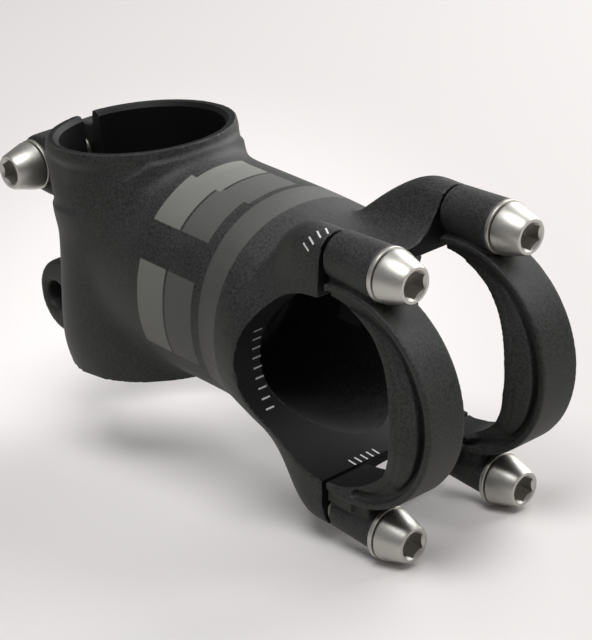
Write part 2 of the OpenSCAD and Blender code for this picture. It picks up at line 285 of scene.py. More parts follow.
def apply_modifier(piece, kind, **settings):
    """Adds a modifier with its settings and applies it."""
    pick(piece)
    modifier = piece.modifiers.new(kind.title(), kind)
    for key, value in settings.items():
        setattr(modifier, key, value)
    bpy.ops.object.modifier_apply(modifier=modifier.name)


def weigh(piece, name, weight):
    """A vertex group whose weight comes from a function of each point."""
    group = piece.vertex_groups.new(name=name)
    for vertex in piece.data.vertices:
        w = weight(vertex.co)
        if w > LEAST_WEIGHT:
            group.add([vertex.index], min(w, 1.0), "REPLACE")
    return name


def smoothstep(x, a, b):
    """0 up to a, 1 from b, and smooth between."""
    k = min(1.0, max(0.0, (x - a) / (b - a)))
    return k * k * (3 - 2 * k)


def fade(x, span, base=0.0):
    """0 up to base plus the span's first value, 1 from its second, both in mm."""
    return smoothstep(x, base + span[0] * MM, base + span[1] * MM)


def along(curve, x):
    """Value at x of a curve given by points, straight between them."""
    for (x0, y0), (x1, y1) in zip(curve, curve[1:]):
        if x <= x1:
            return y0 + (y1 - y0) * (x - x0) / (x1 - x0)
    return curve[-1][1]


def cut_away(piece, tool):
    """Cuts the tool's shape out of piece and deletes the tool."""
    apply_modifier(piece, "BOOLEAN", operation="DIFFERENCE", object=tool, solver="EXACT")
    bpy.data.objects.remove(tool)


def rod(start, direction, reach, radius, end_radius=None):
    """A round cutter from start along direction, straight or tapered."""
    deselect()
    turn = direction.to_track_quat("Z", "Y").to_euler()
    bpy.ops.mesh.primitive_cone_add(
        vertices=256, radius1=radius, radius2=radius if end_radius is None else end_radius,
        depth=reach, location=start + direction.normalized() * reach / 2, rotation=turn)
    return bpy.context.object


def box(centre, size, direction=ABOVE):
    """A square cutter whose own Z points along direction."""
    deselect()
    bpy.ops.mesh.primitive_cube_add(size=1, location=centre, scale=size,
                                    rotation=direction.to_track_quat("Z", "Y").to_euler())
    return bpy.context.object


def thin_out(piece):
    """Brings a remeshed piece of four-sided faces under its triangles."""
    apply_modifier(piece, "DECIMATE",
                   ratio=min(1.0, TRIANGLES / 2 / len(piece.data.polygons)))


def machine(piece, material, tools):
    """Cuts each tool out of piece; the cut faces take the machined finish."""
    for tool in tools:
        tool.data.materials.append(material)
        apply_modifier(piece, "BOOLEAN", operation="DIFFERENCE", object=tool,
                       solver="EXACT", material_mode="TRANSFER")
        bpy.data.objects.remove(tool)
    for v in piece.data.vertices:
        if any(c < low or c > high for c, low, high in zip(v.co, *CAD_BOX)):
            raise RuntimeError(piece.name + " reaches outside the CAD box after its cuts")
    pick(piece)
    bpy.ops.object.shade_smooth_by_angle(angle=SMOOTH_ANGLE)
    # Machined faces are long and thin, so averaged normals would streak them
    for face in piece.data.polygons:
        if face.material_index:
            face.use_smooth = False


def push(piece, group, amount, axis="NORMAL"):
    """Moves a weighted part of piece by amount along its normals or one axis."""
    apply_modifier(piece, "DISPLACE", strength=amount, mid_level=0, direction=axis,
                   vertex_group=group)


def finish_piece(piece, body, slot, material, *nodes):
    """Gives a finished piece its material and its place in the frame."""
    if material:
        piece.data.materials.clear()
        piece.data.materials.append(material)
    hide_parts(*nodes)
    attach(piece, body)


def lathe(name, outline, steps):
    """A closed turned shape about Z from (radius, height) points that start and end on Z."""
    deselect()
    bpy.ops.mesh.primitive_plane_add(size=MM, location=(0, 0, 0))
    piece = bpy.context.object
    piece.name = name
    piece.data.name = name
    bpy.ops.object.mode_set(mode="EDIT")
    bpy.ops.mesh.select_all(action="SELECT")
    bpy.ops.mesh.merge(type="CENTER")
    bpy.ops.transform.translate(value=(outline[0][0], 0, outline[0][1]))
    for (r0, z0), (r1, z1) in zip(outline, outline[1:]):
        bpy.ops.mesh.extrude_region_move(
            TRANSFORM_OT_translate={"value": (r1 - r0, 0, z1 - z0)})
    bpy.ops.mesh.select_all(action="SELECT")
    bpy.ops.mesh.spin(steps=steps, angle=math.tau, center=(0, 0, 0), axis=(0, 0, 1),
                      use_auto_merge=True)
    bpy.ops.object.mode_set(mode="OBJECT")
    merge_doubles(piece, 1e-7, outward=True)
    return piece


def seat_matrix(seat, direction):
    """Turns +Z to direction and moves the origin to seat."""
    return Matrix.Translation(seat) @ direction.to_track_quat("Z", "Y").to_matrix().to_4x4()


def mesh_copy(piece, name, matrix):
    """A copy with its own mesh, moved by matrix in its vertices."""
    copy = bpy.data.objects.new(name, piece.data.copy())
    copy.data.name = name
    copy.data.transform(matrix)
    bpy.context.scene.collection.objects.link(copy)
    return copy


# ---- materials -------------------------------------------------------------------

def linear(hex_colour):
    """sRGB hex such as "#2c2f33" as linear RGBA."""
    parts = [int(hex_colour[i:i + 2], 16) / 255 for i in (1, 3, 5)]
    return [c / 12.92 if c <= 0.04045 else ((c + 0.055) / 1.055) ** 2.4 for c in parts] + [1.0]


def add_node(material, kind, inputs=None, **settings):
    """Adds a node, sets its properties, and links or sets its inputs by name or number."""
    node = material.node_tree.nodes.new(kind)
    for key, value in settings.items():
        setattr(node, key, value)
    for key, value in (inputs or {}).items():
        if isinstance(value, bpy.types.NodeSocket):
            material.node_tree.links.new(value, node.inputs[key])
        else:
            node.inputs[key].default_value = value
    return node


def new_material(name):
    """An empty node material with its Principled shader."""
    material = bpy.data.materials.new(name)
    material.use_nodes = True
    shader = material.node_tree.nodes["Principled BSDF"]
    return material, shader


def link(material, a, b):
    """Links output a to input b."""
    material.node_tree.links.new(a, b)


def smooth_mask(material, value, centre, half, soft):
    """1 where value lies within half of centre, 0 outside, with edges twice soft wide."""
    low, high = centre - half, centre + half
    rise = add_node(material, "ShaderNodeMapRange", {
        "Value": value, "From Min": low - soft, "From Max": low + soft},
        interpolation_type="SMOOTHSTEP").outputs["Result"]
    fall = add_node(material, "ShaderNodeMapRange", {
        "Value": value, "From Min": high - soft, "From Max": high + soft,
        "To Min": 1.0, "To Max": 0.0}, interpolation_type="SMOOTHSTEP").outputs["Result"]
    return add_node(material, "ShaderNodeMath", {0: rise, 1: fall},
                    operation="MULTIPLY").outputs[0]


def blasted_aluminium(material, shader, dark, light):
    """Grain of a shot-blasted, anodised surface; returns its colour, from dark to light."""
    place = add_node(material, "ShaderNodeTexCoord").outputs["Object"]
    # Grit drawn at 0.42 mm, coarser than the real 0.1 mm so that it shows
    grit = add_node(material, "ShaderNodeTexNoise", {
        "Vector": place, "Scale": 1 / (0.42 * MM), "Detail": 3.0, "Roughness": 0.7})
    # Cloudy anodising and handling, about 7 mm across
    cloud = add_node(material, "ShaderNodeTexNoise", {
        "Vector": place, "Scale": 1 / (7 * MM), "Detail": 2.0, "Roughness": 0.5})
    tone = add_node(material, "ShaderNodeMapRange", {
        "Value": grit.outputs["Fac"], "From Min": 0.3, "From Max": 0.72}).outputs["Result"]
    wander = add_node(material, "ShaderNodeMapRange", {
        "Value": cloud.outputs["Fac"], "From Min": 0.25, "From Max": 0.75,
        "To Min": -0.12, "To Max": 0.12}).outputs["Result"]
    tone = add_node(material, "ShaderNodeMath", {0: tone, 1: wander}, operation="ADD",
                    use_clamp=True).outputs[0]
    rough = add_node(material, "ShaderNodeMapRange", {
        "Value": grit.outputs["Fac"], "From Min": 0.3, "From Max": 0.7,
        "To Min": 0.5, "To Max": 0.66}).outputs["Result"]
    bump = add_node(material, "ShaderNodeBump", {
        "Height": grit.outputs["Fac"], "Strength": 0.35, "Distance": 0.05 * MM})
    link(material, bump.outputs["Normal"], shader.inputs["Normal"])
    link(material, rough, shader.inputs["Roughness"])
    shader.inputs["Metallic"].default_value = 0.35
    return add_node(material, "ShaderNodeMix", {"Factor": tone, MIX_A: dark, MIX_B: light},
                    data_type="RGBA").outputs[MIX_RESULT]


# ---- sizes and colours that a user would change --------------------------------------

def length(name, description, mm):
    """A size, given in millimetres and kept in metres."""
    return bpy.props.FloatProperty(name=name, description=description, default=mm * MM,
                                   unit="LENGTH", precision=5)


def arc(name, description, degrees):
    """An angle, given in degrees and kept in radians."""
    return bpy.props.FloatProperty(name=name, description=description,
                                   default=math.radians(degrees), subtype="ANGLE")


def passes(name, description, count):
    """A number of smoothing passes."""
    return bpy.props.IntProperty(name=name, description=description, default=count)


def colour(name, description, hex_colour):
    """A colour as an sRGB hex value."""
    return bpy.props.StringProperty(name=name, description=description, default=hex_colour)


class StemShape(bpy.types.PropertyGroup):
    """Sizes of the forged pieces."""
    body_voxel: length("Body detail", "Voxel size of the forged body", 0.42)
    band_voxel: length("Band detail", "Voxel size of the clamp bands", 0.2)
    blend_passes: passes("Blend passes", "Smoothing passes where extension meets clamp", 200)
    skin_passes: passes("Skin passes", "Smoothing passes over the forged skin", 18)
    ridge_h: length("Ridge height", "Height of the forging's ridge round the clamp", 0.42)
    cut_skin: length("Machined skin", "Depth that the machined cuts take off", 0.1)
    neck_d: length("Neck depth", "How far the clamp's neck sinks in under its lip", 0.9)
    slit_w: length("Slit width", "Width of the clamp's slit", 3.2)
    bore_chamfer: length("Bore chamfer", "Chamfer at the top of the steerer bore", 0.8)
    rib_r: length("Rib radius", "Radius of the rib's edge in a band's side view", 15.3)
    rib_shift: length("Rib shift", "Forward shift of the rib's edge from the bar centre", 5.4)
    rib_slope: length("Rib slope", "How far the rib's flank falls in at its edge", 1.3)
    band_passes: passes("Band passes", "Smoothing passes over the bands", 9)
    rim_w: length("Rim width", "Flat rim beside the bar before the rib slopes", 1.9)


class BoltShape(bpy.types.PropertyGroup):
    """Sizes of the tapered cap screws and their washers."""
    head_base_r: length("Head base radius", "Radius of the head at its washer", 4.3)
    head_tip_r: length("Head tip radius", "Radius of the head at its tip", 3.14)
    head_h: length("Head height", "Height of the tapered head", 4.9)
    hex_af: length("Hex socket", "Hex socket across flats", 4)
    hex_depth: length("Socket depth", "Depth of the hex socket", 3)
    shank_d: length("Thread diameter", "Outer diameter of the thread", 5)
    pitch: length("Thread pitch", "Rise of the thread for each turn", 0.8)
    shank_len: length("Shank length", "Length of a face bolt under its head", 16)
    pinch_len: length("Pinch shank length", "Length of a pinch bolt under its head", 14)
    washer_r: length("Washer radius", "Outer radius of the washer", 4.45)
    washer_t: length("Washer thickness", "Thickness of the washer", 0.8)
    shoulder_h: length("Shoulder height", "Dark relief between washer and head", 0.2)


class PrintShape(bpy.types.PropertyGroup):
    """Sizes of the grey prints and white marks."""
    ring_w: length("Ring width", "Width of the ring stripe", 4.9)
    ring_arc: arc("Ring reach", "How far the stripe runs down each side", 118)
    block_l: length("Block length", "Length of a block along the extension", 6.6)
    step: length("Row step", "From the pale row to the darker row", 7.1)
    top_arc: arc("Top block", "Half width of the top block", 15)
    corner_arc: arc("Corner block", "Half width of the block at the near corner", 14)
    side_arc: arc("Side block", "Half width of the block on the near side", 24)
    around_r: length("Extension radius", "Mean radius that turns angles into widths", 19)
    edge: length("Print edge", "Softness of a print's edge", 0.12)
    tick_w: length("Tick width", "Width of a white tick", 0.28)
    tick_l: length("Tick length", "Length of a white tick", 1.7)
    tick_h: length("Tick height", "Thickness of a white tick, half of it sunk in", 0.08)


class StemColours(bpy.types.PropertyGroup):
    """Colours as sRGB hex values."""
    body_dark: colour("Body, dark grain", "Darkest grain of the anodised body", "#121312")
    body_light: colour("Body, light grain", "Lightest grain of the anodised body", "#424442")
    ring: colour("Ring print", "Grey of the ring stripe", "#545553")
    stripe: colour("Grey print", "Mid grey of the plain printed blocks", "#5b5c59")
    stripe_pale: colour("Pale print", "Light grey of the plain printed bars", "#7b7c77")
    tick: colour("White print", "White of the clamp marks", "#d8dad8")
    machined: colour("Machined bores", "Black of the machined bores and faces", "#0b0b0c")
    steel: colour("Bolt steel", "Satin stainless steel", "#bbb9b3")
    floor: colour("Floor", "Floor as the camera sees it", "#e6e3e2")
    # Painted falloff of light: the floor dims towards the picture's corners, away from a painted pale pool
    floor_painted_falloff: colour("Floor, far", "Floor towards the picture's corners", "#d2cecd")
    floor_bounce: colour("Floor bounce", "Floor as it lights the stem from below", "#6a6a6a")


# ---- pieces --------------------------------------------------------------------------

class STEM_OT_finishes(bpy.types.Operator):
    """Make the materials: blasted black aluminium, satin stainless steel, prints"""
    bl_idname = "stem.finishes"
    bl_label = "Finishes"

    def execute(self, context):
        colours = context.scene.stem_colours
        # Aluminium, forged, shot-blasted and black anodised: matt, with a fine grain
        for name in ("body", "band"):
            material, shader = new_material("shot_blasted_black_anodised_" + name)
            tone = blasted_aluminium(
                material, shader, linear(colours.body_dark), linear(colours.body_light))
            link(material, tone, shader.inputs["Base Color"])

        # The same aluminium machined in bores, slit and split faces: smoother and darker
        material, shader = new_material("machined_black_anodised_bore")
        shader.inputs["Base Color"].default_value = linear(colours.machined)
        shader.inputs["Roughness"].default_value = 0.55
        shader.inputs["Specular IOR Level"].default_value = 0.2

        # White pad print of the small marks
        material, shader = new_material("white_pad_print")
        shader.inputs["Base Color"].default_value = linear(colours.tick)
        shader.inputs["Roughness"].default_value = 0.6

        # Stainless steel, turned and tumbled to a satin: soft highlights along the cone
        material, shader = new_material("satin_stainless_steel")
        place = add_node(material, "ShaderNodeTexCoord").outputs["Object"]
        grain = add_node(material, "ShaderNodeTexNoise", {
            "Vector": place, "Scale": 1 / (0.35 * MM), "Detail": 2.0})
        rough = add_node(material, "ShaderNodeMapRange", {
            "Value": grain.outputs["Fac"], "From Min": 0.3, "From Max": 0.7,
            "To Min": 0.36, "To Max": 0.46}).outputs["Result"]
        bump = add_node(material, "ShaderNodeBump", {
            "Height": grain.outputs["Fac"], "Strength": 0.12, "Distance": 0.02 * MM})
        link(material, rough, shader.inputs["Roughness"])
        link(material, bump.outputs["Normal"], shader.inputs["Normal"])
        shader.inputs["Base Color"].default_value = linear(colours.steel)
        shader.inputs["Metallic"].default_value = 1.0
        return {"FINISHED"}


class STEM_OT_forged_body(bpy.types.Operator):
    """Model the forged body: extension, steerer clamp and bolt bosses in one skin"""
    bl_idname = "stem.forged_body"
    bl_label = "Forged body"

    def execute(self, context):
        shape = context.scene.stem_shape
        finish = bpy.data.materials["machined_black_anodised_bore"]
        piece = copy_of_node("stem_body", "forged_body")
        front = max(clamp_place(v.co)[0] for v in piece.data.vertices)
        piece.data.materials.append(bpy.data.materials["shot_blasted_black_anodised_body"])
        apply_modifier(piece, "REMESH", mode="VOXEL", voxel_size=shape.body_voxel,
                       use_smooth_shade=True)

        def off_edges(p):
            """1 on the outer skin, 0 near bores and faces, whose edges stay crisp."""
            r = math.hypot(p.x, p.y)
            s, _, u = clamp_place(p)
            w = fade(r, STEERER_EDGE, BORE_R) if s < BORE_FRONT * MM else 1.0
            w *= fade(math.hypot(s, u), BAR_EDGE, BAR_R)
            w *= fade(front - s, SPLIT_EDGE)
            if r < CLAMP_R * MM:
                w *= fade(CLAMP_TOP - p.z, TOP_EDGE) * fade(p.z, FOOT_EDGE)
            return w

        def crease(p):
            """1 along the crease between the steerer clamp and the extension."""
            r = math.hypot(p.x, p.y)
            near = 1 - fade(abs(r - CREASE_R * MM), CREASE_FADE)
            return near * fade(p.x, CREASE_FRONT) * off_edges(p)

        def ridge(p):
            """1 under the line that sweeps round the clamp from the ears up to the lip."""
            r = math.hypot(p.x, p.y)
            if r > RIDGE_R * MM:
                return 0.0
            angle = abs(math.degrees(math.atan2(p.y, p.x)))
            below = along(RIDGE, angle) * MM - p.z
            w = fade(below, RIDGE_RISE) * (1 - fade(below, RIDGE_BELOW))
            return w * (1 - fade(r, RIDGE_OUT)) * off_edges(p)

        def neck(p):
            """1 where the clamp sinks in between its lip and the ridge."""
            r = math.hypot(p.x, p.y)
            if r > NECK_R * MM or r < BORE_R + 1 * MM:
                return 0.0
            angle = abs(math.degrees(math.atan2(p.y, p.x)))
            above = p.z - along(RIDGE, angle) * MM
            under_lip = CLAMP_TOP - NECK_LIP * MM - p.z
            return (fade(above, NECK_RISE) * fade(under_lip, NECK_UNDER)
                    * (1 - smoothstep(angle, *NECK_SIDES)))

        skin = weigh(piece, "skin", off_edges)
        joint = weigh(piece, "joint", crease)
        apply_modifier(piece, "SMOOTH", factor=0.5, iterations=shape.blend_passes,
                       vertex_group=joint)
        apply_modifier(piece, "SMOOTH", factor=0.5, iterations=shape.skin_passes,
                       vertex_group=skin)
        push(piece, weigh(piece, "ridge", ridge), shape.ridge_h)
        push(piece, weigh(piece, "neck", neck), -shape.neck_d)
        piece.vertex_groups.clear()
        thin_out(piece)
        cut = shape.cut_skin
        machine(piece, finish, [
            rod(BAR_CENTRE - LEFT * REACH, LEFT, 2 * REACH, BAR_R + cut),
            rod(Vector((0, 0, -REACH)), ABOVE, 3 * REACH, BORE_R + cut),
            rod(Vector((0, 0, CLAMP_TOP - shape.bore_chamfer)), ABOVE, 2 * shape.bore_chamfer,
                BORE_R + cut, BORE_R + 2 * shape.bore_chamfer + cut),
            box(Vector((-REACH / 2 - SLIT_FRONT * MM, 0, CLAMP_TOP / 2)),
                (REACH, shape.slit_w + 2 * cut, 2 * REACH)),
            box(BAR_CENTRE + FORWARD * (front - cut + REACH / 2),
                (2 * REACH, 2 * REACH, REACH), FORWARD),
            box(ABOVE * (CLAMP_TOP - cut / 2 + REACH / 2), (REACH, REACH, REACH)),
            box(ABOVE * (cut - REACH / 2), (REACH, REACH, REACH)),
        ])
        finish_piece(piece, "stem", "forged_body", None, "stem_body")
        return {"FINISHED"}


class STEM_OT_bands(bpy.types.Operator):
    """Model the two forged clamp bands with their grooved flanks"""
    bl_idname = "stem.bands"
    bl_label = "Clamp bands"

    def execute(self, context):
        shape = context.scene.stem_shape
        bore = bpy.data.materials["machined_black_anodised_bore"]
        for side, sense in (("right", -1), ("left", 1)):
            across = JOINTS[f"upper_{side}_turn"]["pos_m"][1]
            piece = copy_of_node("faceplate_band_" + side, "band_" + side)
            back = min(clamp_place(v.co)[0] for v in piece.data.vertices)
            # The lower root is as wide as its boss, down to the bar, and wider inwards
            root = box(BAR_CENTRE + FORWARD * ROOT_AHEAD * MM - UP * ROOT_BELOW * MM
                       + LEFT * (across - sense * ROOT_INWARDS * MM), ROOT_SIZE, FORWARD)
            pick(piece)
            root.select_set(True)
            bpy.ops.object.join()
            piece.data.materials.clear()
            piece.data.materials.append(
                bpy.data.materials["shot_blasted_black_anodised_band"])
            apply_modifier(piece, "REMESH", mode="VOXEL", voxel_size=shape.band_voxel,
                           use_smooth_shade=True)

            def off_edges(p):
                """1 on the outer skin, 0 near the bar bore and the split face."""
                s, _, u = clamp_place(p)
                return (fade(math.hypot(s, u), BAND_BAR_EDGE, BAR_R)
                        * fade(s - back, BAND_SPLIT_EDGE))

            for flank in (-1, 1):
                def excess(p):
                    """How far p stands proud of the flank's profile, as a share of FLANK_MOST."""
                    s, y, u = clamp_place(p)
                    if math.hypot(s - shape.rib_shift, u) > shape.rib_r + RIB_MARGIN:
                        return 0.0
                    rho, angle = math.hypot(s, u), math.degrees(math.atan2(u, s))
                    half = along(FLANK, angle) * MM
                    if flank == -sense:
                        half += ROOT_WIDER * smoothstep(-angle, ROOT_FROM, ROOT_TO)
                    past_rim = rho - BAR_R - shape.rim_w
                    half -= shape.rib_slope * max(0.0, past_rim) / SLOPE_RUN
                    half -= GROOVE_D * max(0.0, 1 - abs(past_rim) / GROOVE_W)
                    proud = flank * (y - across) - max(half, FLANK_LEAST)
                    return max(0.0, proud) / FLANK_MOST

                push(piece, weigh(piece, "flank", excess), -flank * FLANK_MOST, "Y")
                piece.vertex_groups.clear()
            # A second remesh closes the folds that pushing the flanks in leaves
            apply_modifier(piece, "REMESH", mode="VOXEL", voxel_size=shape.band_voxel,
                           use_smooth_shade=True)
            skin = weigh(piece, "skin", off_edges)
            apply_modifier(piece, "SMOOTH", factor=0.5, iterations=shape.band_passes,
                           vertex_group=skin)
            piece.vertex_groups.clear()
            thin_out(piece)
            machine(piece, bore, [
                rod(BAR_CENTRE - LEFT * REACH, LEFT, 2 * REACH, BAR_R + shape.cut_skin),
                box(BAR_CENTRE + FORWARD * (back + shape.cut_skin - REACH / 2),
                    (2 * REACH, 2 * REACH, REACH), FORWARD),
            ])
            finish_piece(piece, side + "_band", "faceplate", None, "faceplate_band_" + side)
        return {"FINISHED"}


def bolt_seats():
    """Each bolt's node, body, washer node and body, seat point and direction of its head."""
    for height in ("upper", "lower"):
        for side in ("right", "left"):
            joint = JOINTS[f"{height}_{side}_turn"]
            yield (f"face_bolt_{height}_{side}", f"{height}_{side}_bolt",
                   f"washer_{height}_{side}", f"{height}_{side}_washer",
                   Vector(joint["pos_m"]), Vector(joint["axis"]).normalized())
        joint = JOINTS[f"pinch_{height}_turn"]
        yield (f"pinch_bolt_{height}", f"pinch_{height}_bolt",
               f"pinch_washer_{height}", f"pinch_{height}_washer",
               Vector(joint["pos_m"]), Vector(joint["axis"]).normalized())


def tapered_bolt(b, shank_len):
    """One cap screw about Z, its washer's foot at the origin."""
    base = b.washer_t + b.shoulder_h
    tip = base + b.head_h
    end = base - shank_len
    # Thread depth, half of its crest's flat, its length without thread, and the relief's radius
    depth, flat, plain, relief_r = 0.45 * MM, 0.05 * MM, 2.2 * MM, 3.3 * MM
    # Chamfers at the shank's end, the head's base and its tip, and the head's straight foot
    lead, bevel, rim, straight = 0.2 * MM, 0.25 * MM, 0.35 * MM, 0.7 * MM
    crest, root = b.shank_d / 2, b.shank_d / 2 - depth
    outline = [(0, end), (root - lead, end)]
    z = end + 0.4 * MM
    while z < base - plain:
        outline += [(root, z), (crest, z + b.pitch / 2 - flat),
                    (crest, z + b.pitch / 2 + flat)]
        z += b.pitch
    outline += [(root, z), (crest, z + 0.5 * MM), (crest, base - lead)]
    outline += [(relief_r, b.washer_t), (relief_r, base), (b.head_base_r - bevel, base),
                (b.head_base_r, base + bevel), (b.head_base_r, base + straight),
                (b.head_tip_r + 0.02 * MM, tip - rim), (b.head_tip_r - rim * 0.7, tip),
                (0, tip)]
    bolt = lathe("tapered_bolt", outline, 96)
    # Hex socket with a small chamfer round its mouth
    deselect()
    bpy.ops.mesh.primitive_cylinder_add(
        vertices=6, radius=b.hex_af / math.sqrt(3), depth=b.hex_depth * 2,
        location=(0, 0, tip))
    cut_away(bolt, bpy.context.object)
    deselect()
    mouth = b.hex_af / math.sqrt(3) + 0.12 * MM
    bpy.ops.mesh.primitive_cone_add(
        vertices=96, radius1=mouth - 0.45 * MM, radius2=mouth + 0.15 * MM,
        depth=0.6 * MM, location=(0, 0, tip - 0.15 * MM))
    cut_away(bolt, bpy.context.object)
    pick(bolt)
    bpy.ops.object.shade_smooth_by_angle(angle=math.radians(28))
    return bolt


class STEM_OT_bolts(bpy.types.Operator):
    """Turn a tapered cap screw of each length, with thread and socket; copy to each seat"""
    bl_idname = "stem.bolts"
    bl_label = "Tapered bolts"

    def execute(self, context):
        b = context.scene.stem_bolt
        bolts = {"face": tapered_bolt(b, b.shank_len), "pinch": tapered_bolt(b, b.pinch_len)}
        for node, body, _, _, seat, direction in bolt_seats():
            piece = mesh_copy(bolts[node.split("_")[0]], "cap_" + node,
                              seat_matrix(seat, direction))
            finish_piece(piece, body, "bolt", bpy.data.materials["satin_stainless_steel"],
                         node)
        for bolt in bolts.values():
            bpy.data.objects.remove(bolt)
        return {"FINISHED"}


class STEM_OT_washers(bpy.types.Operator):
    """Turn one thin washer with rounded edges and copy it under each head"""
    bl_idname = "stem.washers"
    bl_label = "Washers"

    def execute(self, context):
        b = context.scene.stem_bolt
        edge = 0.15 * MM
        inner = b.shank_d / 2 + 0.1 * MM
        deselect()
        bpy.ops.mesh.primitive_cylinder_add(
            vertices=96, radius=b.washer_r, depth=b.washer_t, location=(0, 0, b.washer_t / 2))
        washer = bpy.context.object
        washer.data.transform(washer.matrix_world)
        washer.matrix_world = Matrix.Identity(4)
        deselect()
        bpy.ops.mesh.primitive_cylinder_add(
            vertices=64, radius=inner, depth=b.washer_t * 3, location=(0, 0, b.washer_t / 2))
        cut_away(washer, bpy.context.object)
        apply_modifier(washer, "BEVEL", width=edge, segments=3, limit_method="ANGLE",
                       angle_limit=math.radians(50))
        pick(washer)
        bpy.ops.object.shade_smooth_by_angle(angle=math.radians(40))
        for _, _, node, body, seat, direction in bolt_seats():
            piece = mesh_copy(washer, "ring_" + node, seat_matrix(seat, direction))
            finish_piece(piece, body, "washer", bpy.data.materials["satin_stainless_steel"],
                         node)
        bpy.data.objects.remove(washer)
        return {"FINISHED"}


class STEM_OT_prints(bpy.types.Operator):
    """Print the plain grey blocks and the ring stripe on the extension"""
    bl_idname = "stem.prints"
    bl_label = "Grey prints"

    def execute(self, context):
        prints = context.scene.stem_prints
        colours = context.scene.stem_colours
        tree = carrier_tree(bpy.data.objects["forged_body"])

        def round_axis(name):
            """Distance along the extension and angle round it of a named image point."""
            s, y, u = clamp_place(place_on(tree, name)[0])
            return s, math.atan2(-y, u)

        material = bpy.data.materials["shot_blasted_black_anodised_body"]
        shader = material.node_tree.nodes["Principled BSDF"]
        place = material.node_tree.nodes["Texture Coordinate"].outputs["Object"]
        offset = add_node(material, "ShaderNodeVectorMath", {0: place, 1: BAR_CENTRE},
                          operation="SUBTRACT").outputs[0]
        s, y, u = (add_node(material, "ShaderNodeVectorMath", {0: offset, 1: axis},
                            operation="DOT_PRODUCT").outputs["Value"]
                   for axis in (FORWARD, -LEFT, UP))
        angle = add_node(material, "ShaderNodeMath", {0: y, 1: u},
                         operation="ARCTAN2").outputs[0]
        edge = prints.edge

        def block(centre, long, middle, half_arc):
            """Mask of one block: long along the extension, half_arc to each side round it."""
            return add_node(material, "ShaderNodeMath", {
                0: smooth_mask(material, s, centre, long / 2, edge),
                1: smooth_mask(material, angle, middle, half_arc, edge / prints.around_r)},
                operation="MULTIPLY").outputs[0]

        blocks = [(block(round_axis("ring_stripe")[0], prints.ring_w, 0, prints.ring_arc),
                   colours.ring)]
        for ahead, tone in ((prints.step, colours.stripe), (0, colours.stripe_pale)):
            for name, half_arc in (("print_top", prints.top_arc),
                                   ("print_corner", prints.corner_arc),
                                   ("print_side", prints.side_arc)):
                centre, middle = round_axis(name)
                blocks.append((block(centre + ahead, prints.block_l, middle, half_arc), tone))
        paint = shader.inputs["Base Color"].links[0].from_socket
        for mask, tone in blocks:
            paint = add_node(material, "ShaderNodeMix", {
                "Factor": mask, MIX_A: paint, MIX_B: linear(tone)},
                data_type="RGBA").outputs[MIX_RESULT]
        link(material, paint, shader.inputs["Base Color"])
        return {"FINISHED"}


class STEM_OT_marks(bpy.types.Operator):
    """Print the small white ticks on the near boss, in the bar bore and on the lower seat"""
    bl_idname = "stem.marks"
    bl_label = "White marks"

    def execute(self, context):
        prints = context.scene.stem_prints
        tree = carrier_tree(bpy.data.objects["forged_body"])
        ticks = []

        def tick(place, normal, run):
            """One short stroke lying on the surface, long in the direction of run."""
            across = run.cross(normal).normalized()
            turn = Matrix((across, normal.cross(across), normal)).transposed()
            deselect()
            bpy.ops.mesh.primitive_cube_add(
                size=1, location=place, rotation=turn.to_euler(),
                scale=(prints.tick_w, prints.tick_l, prints.tick_h))
            ticks.append(bpy.context.object)

        def in_bore(angle, left):
            """Place and normal on the bar bore's wall."""
            out = FORWARD * math.cos(angle) + UP * math.sin(angle)
            return tree.ray_cast(BAR_CENTRE + LEFT * left, out)[0], -out

        def polar(name):
            """Angle round the bar and distance to the left of a named image point."""
            s, left, u = clamp_place(place_on(tree, name)[0])
            return math.atan2(u, s) % math.tau, left

        first, last = polar("bore_marks_upper"), polar("bore_marks_lower")
        for k in range(BORE_TICKS):
            share = k / (BORE_TICKS - 1)
            tick(*in_bore(*(a + (b - a) * share for a, b in zip(first, last))), LEFT)
        angle, left = polar("seat_marks")
        for k in range(SEAT_TICKS):
            tick(*in_bore(angle, left + (k - SEAT_TICKS // 2) * SEAT_GAP), FORWARD)
        first, last = (place_on(tree, "boss_marks_" + end)[0] for end in ("first", "last"))
        for k in range(BOSS_TICKS):
            place, normal, _, _ = tree.find_nearest(first.lerp(last, k / (BOSS_TICKS - 1)))
            tick(place, normal, normal.cross(last - first).normalized())
        deselect()
        for piece in ticks:
            piece.select_set(True)
        context.view_layer.objects.active = ticks[0]
        bpy.ops.object.join()
        marks = context.object
        bpy.ops.object.transform_apply(location=True, rotation=True, scale=True)
        marks.name = marks.data.name = "white_marks"
        marks.data.materials.append(bpy.data.materials["white_pad_print"])
        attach(marks, "stem")
        return {"FINISHED"}


# ---- stage ---------------------------------------------------------------------------

def area_lamp(name, place, size, watts):
    """A round softbox that faces the stem."""
    data = bpy.data.lights.new(name, "AREA")
    data.shape = "DISK"
    data.size = size
    data.energy = watts
    lamp = bpy.data.objects.new(name, data)
    lamp.location = place
    lamp.rotation_mode = "QUATERNION"
    lamp.rotation_quaternion = (Vector(LAMP_AIM) - Vector(place)).to_track_quat("-Z", "Y")
    bpy.context.scene.collection.objects.link(lamp)


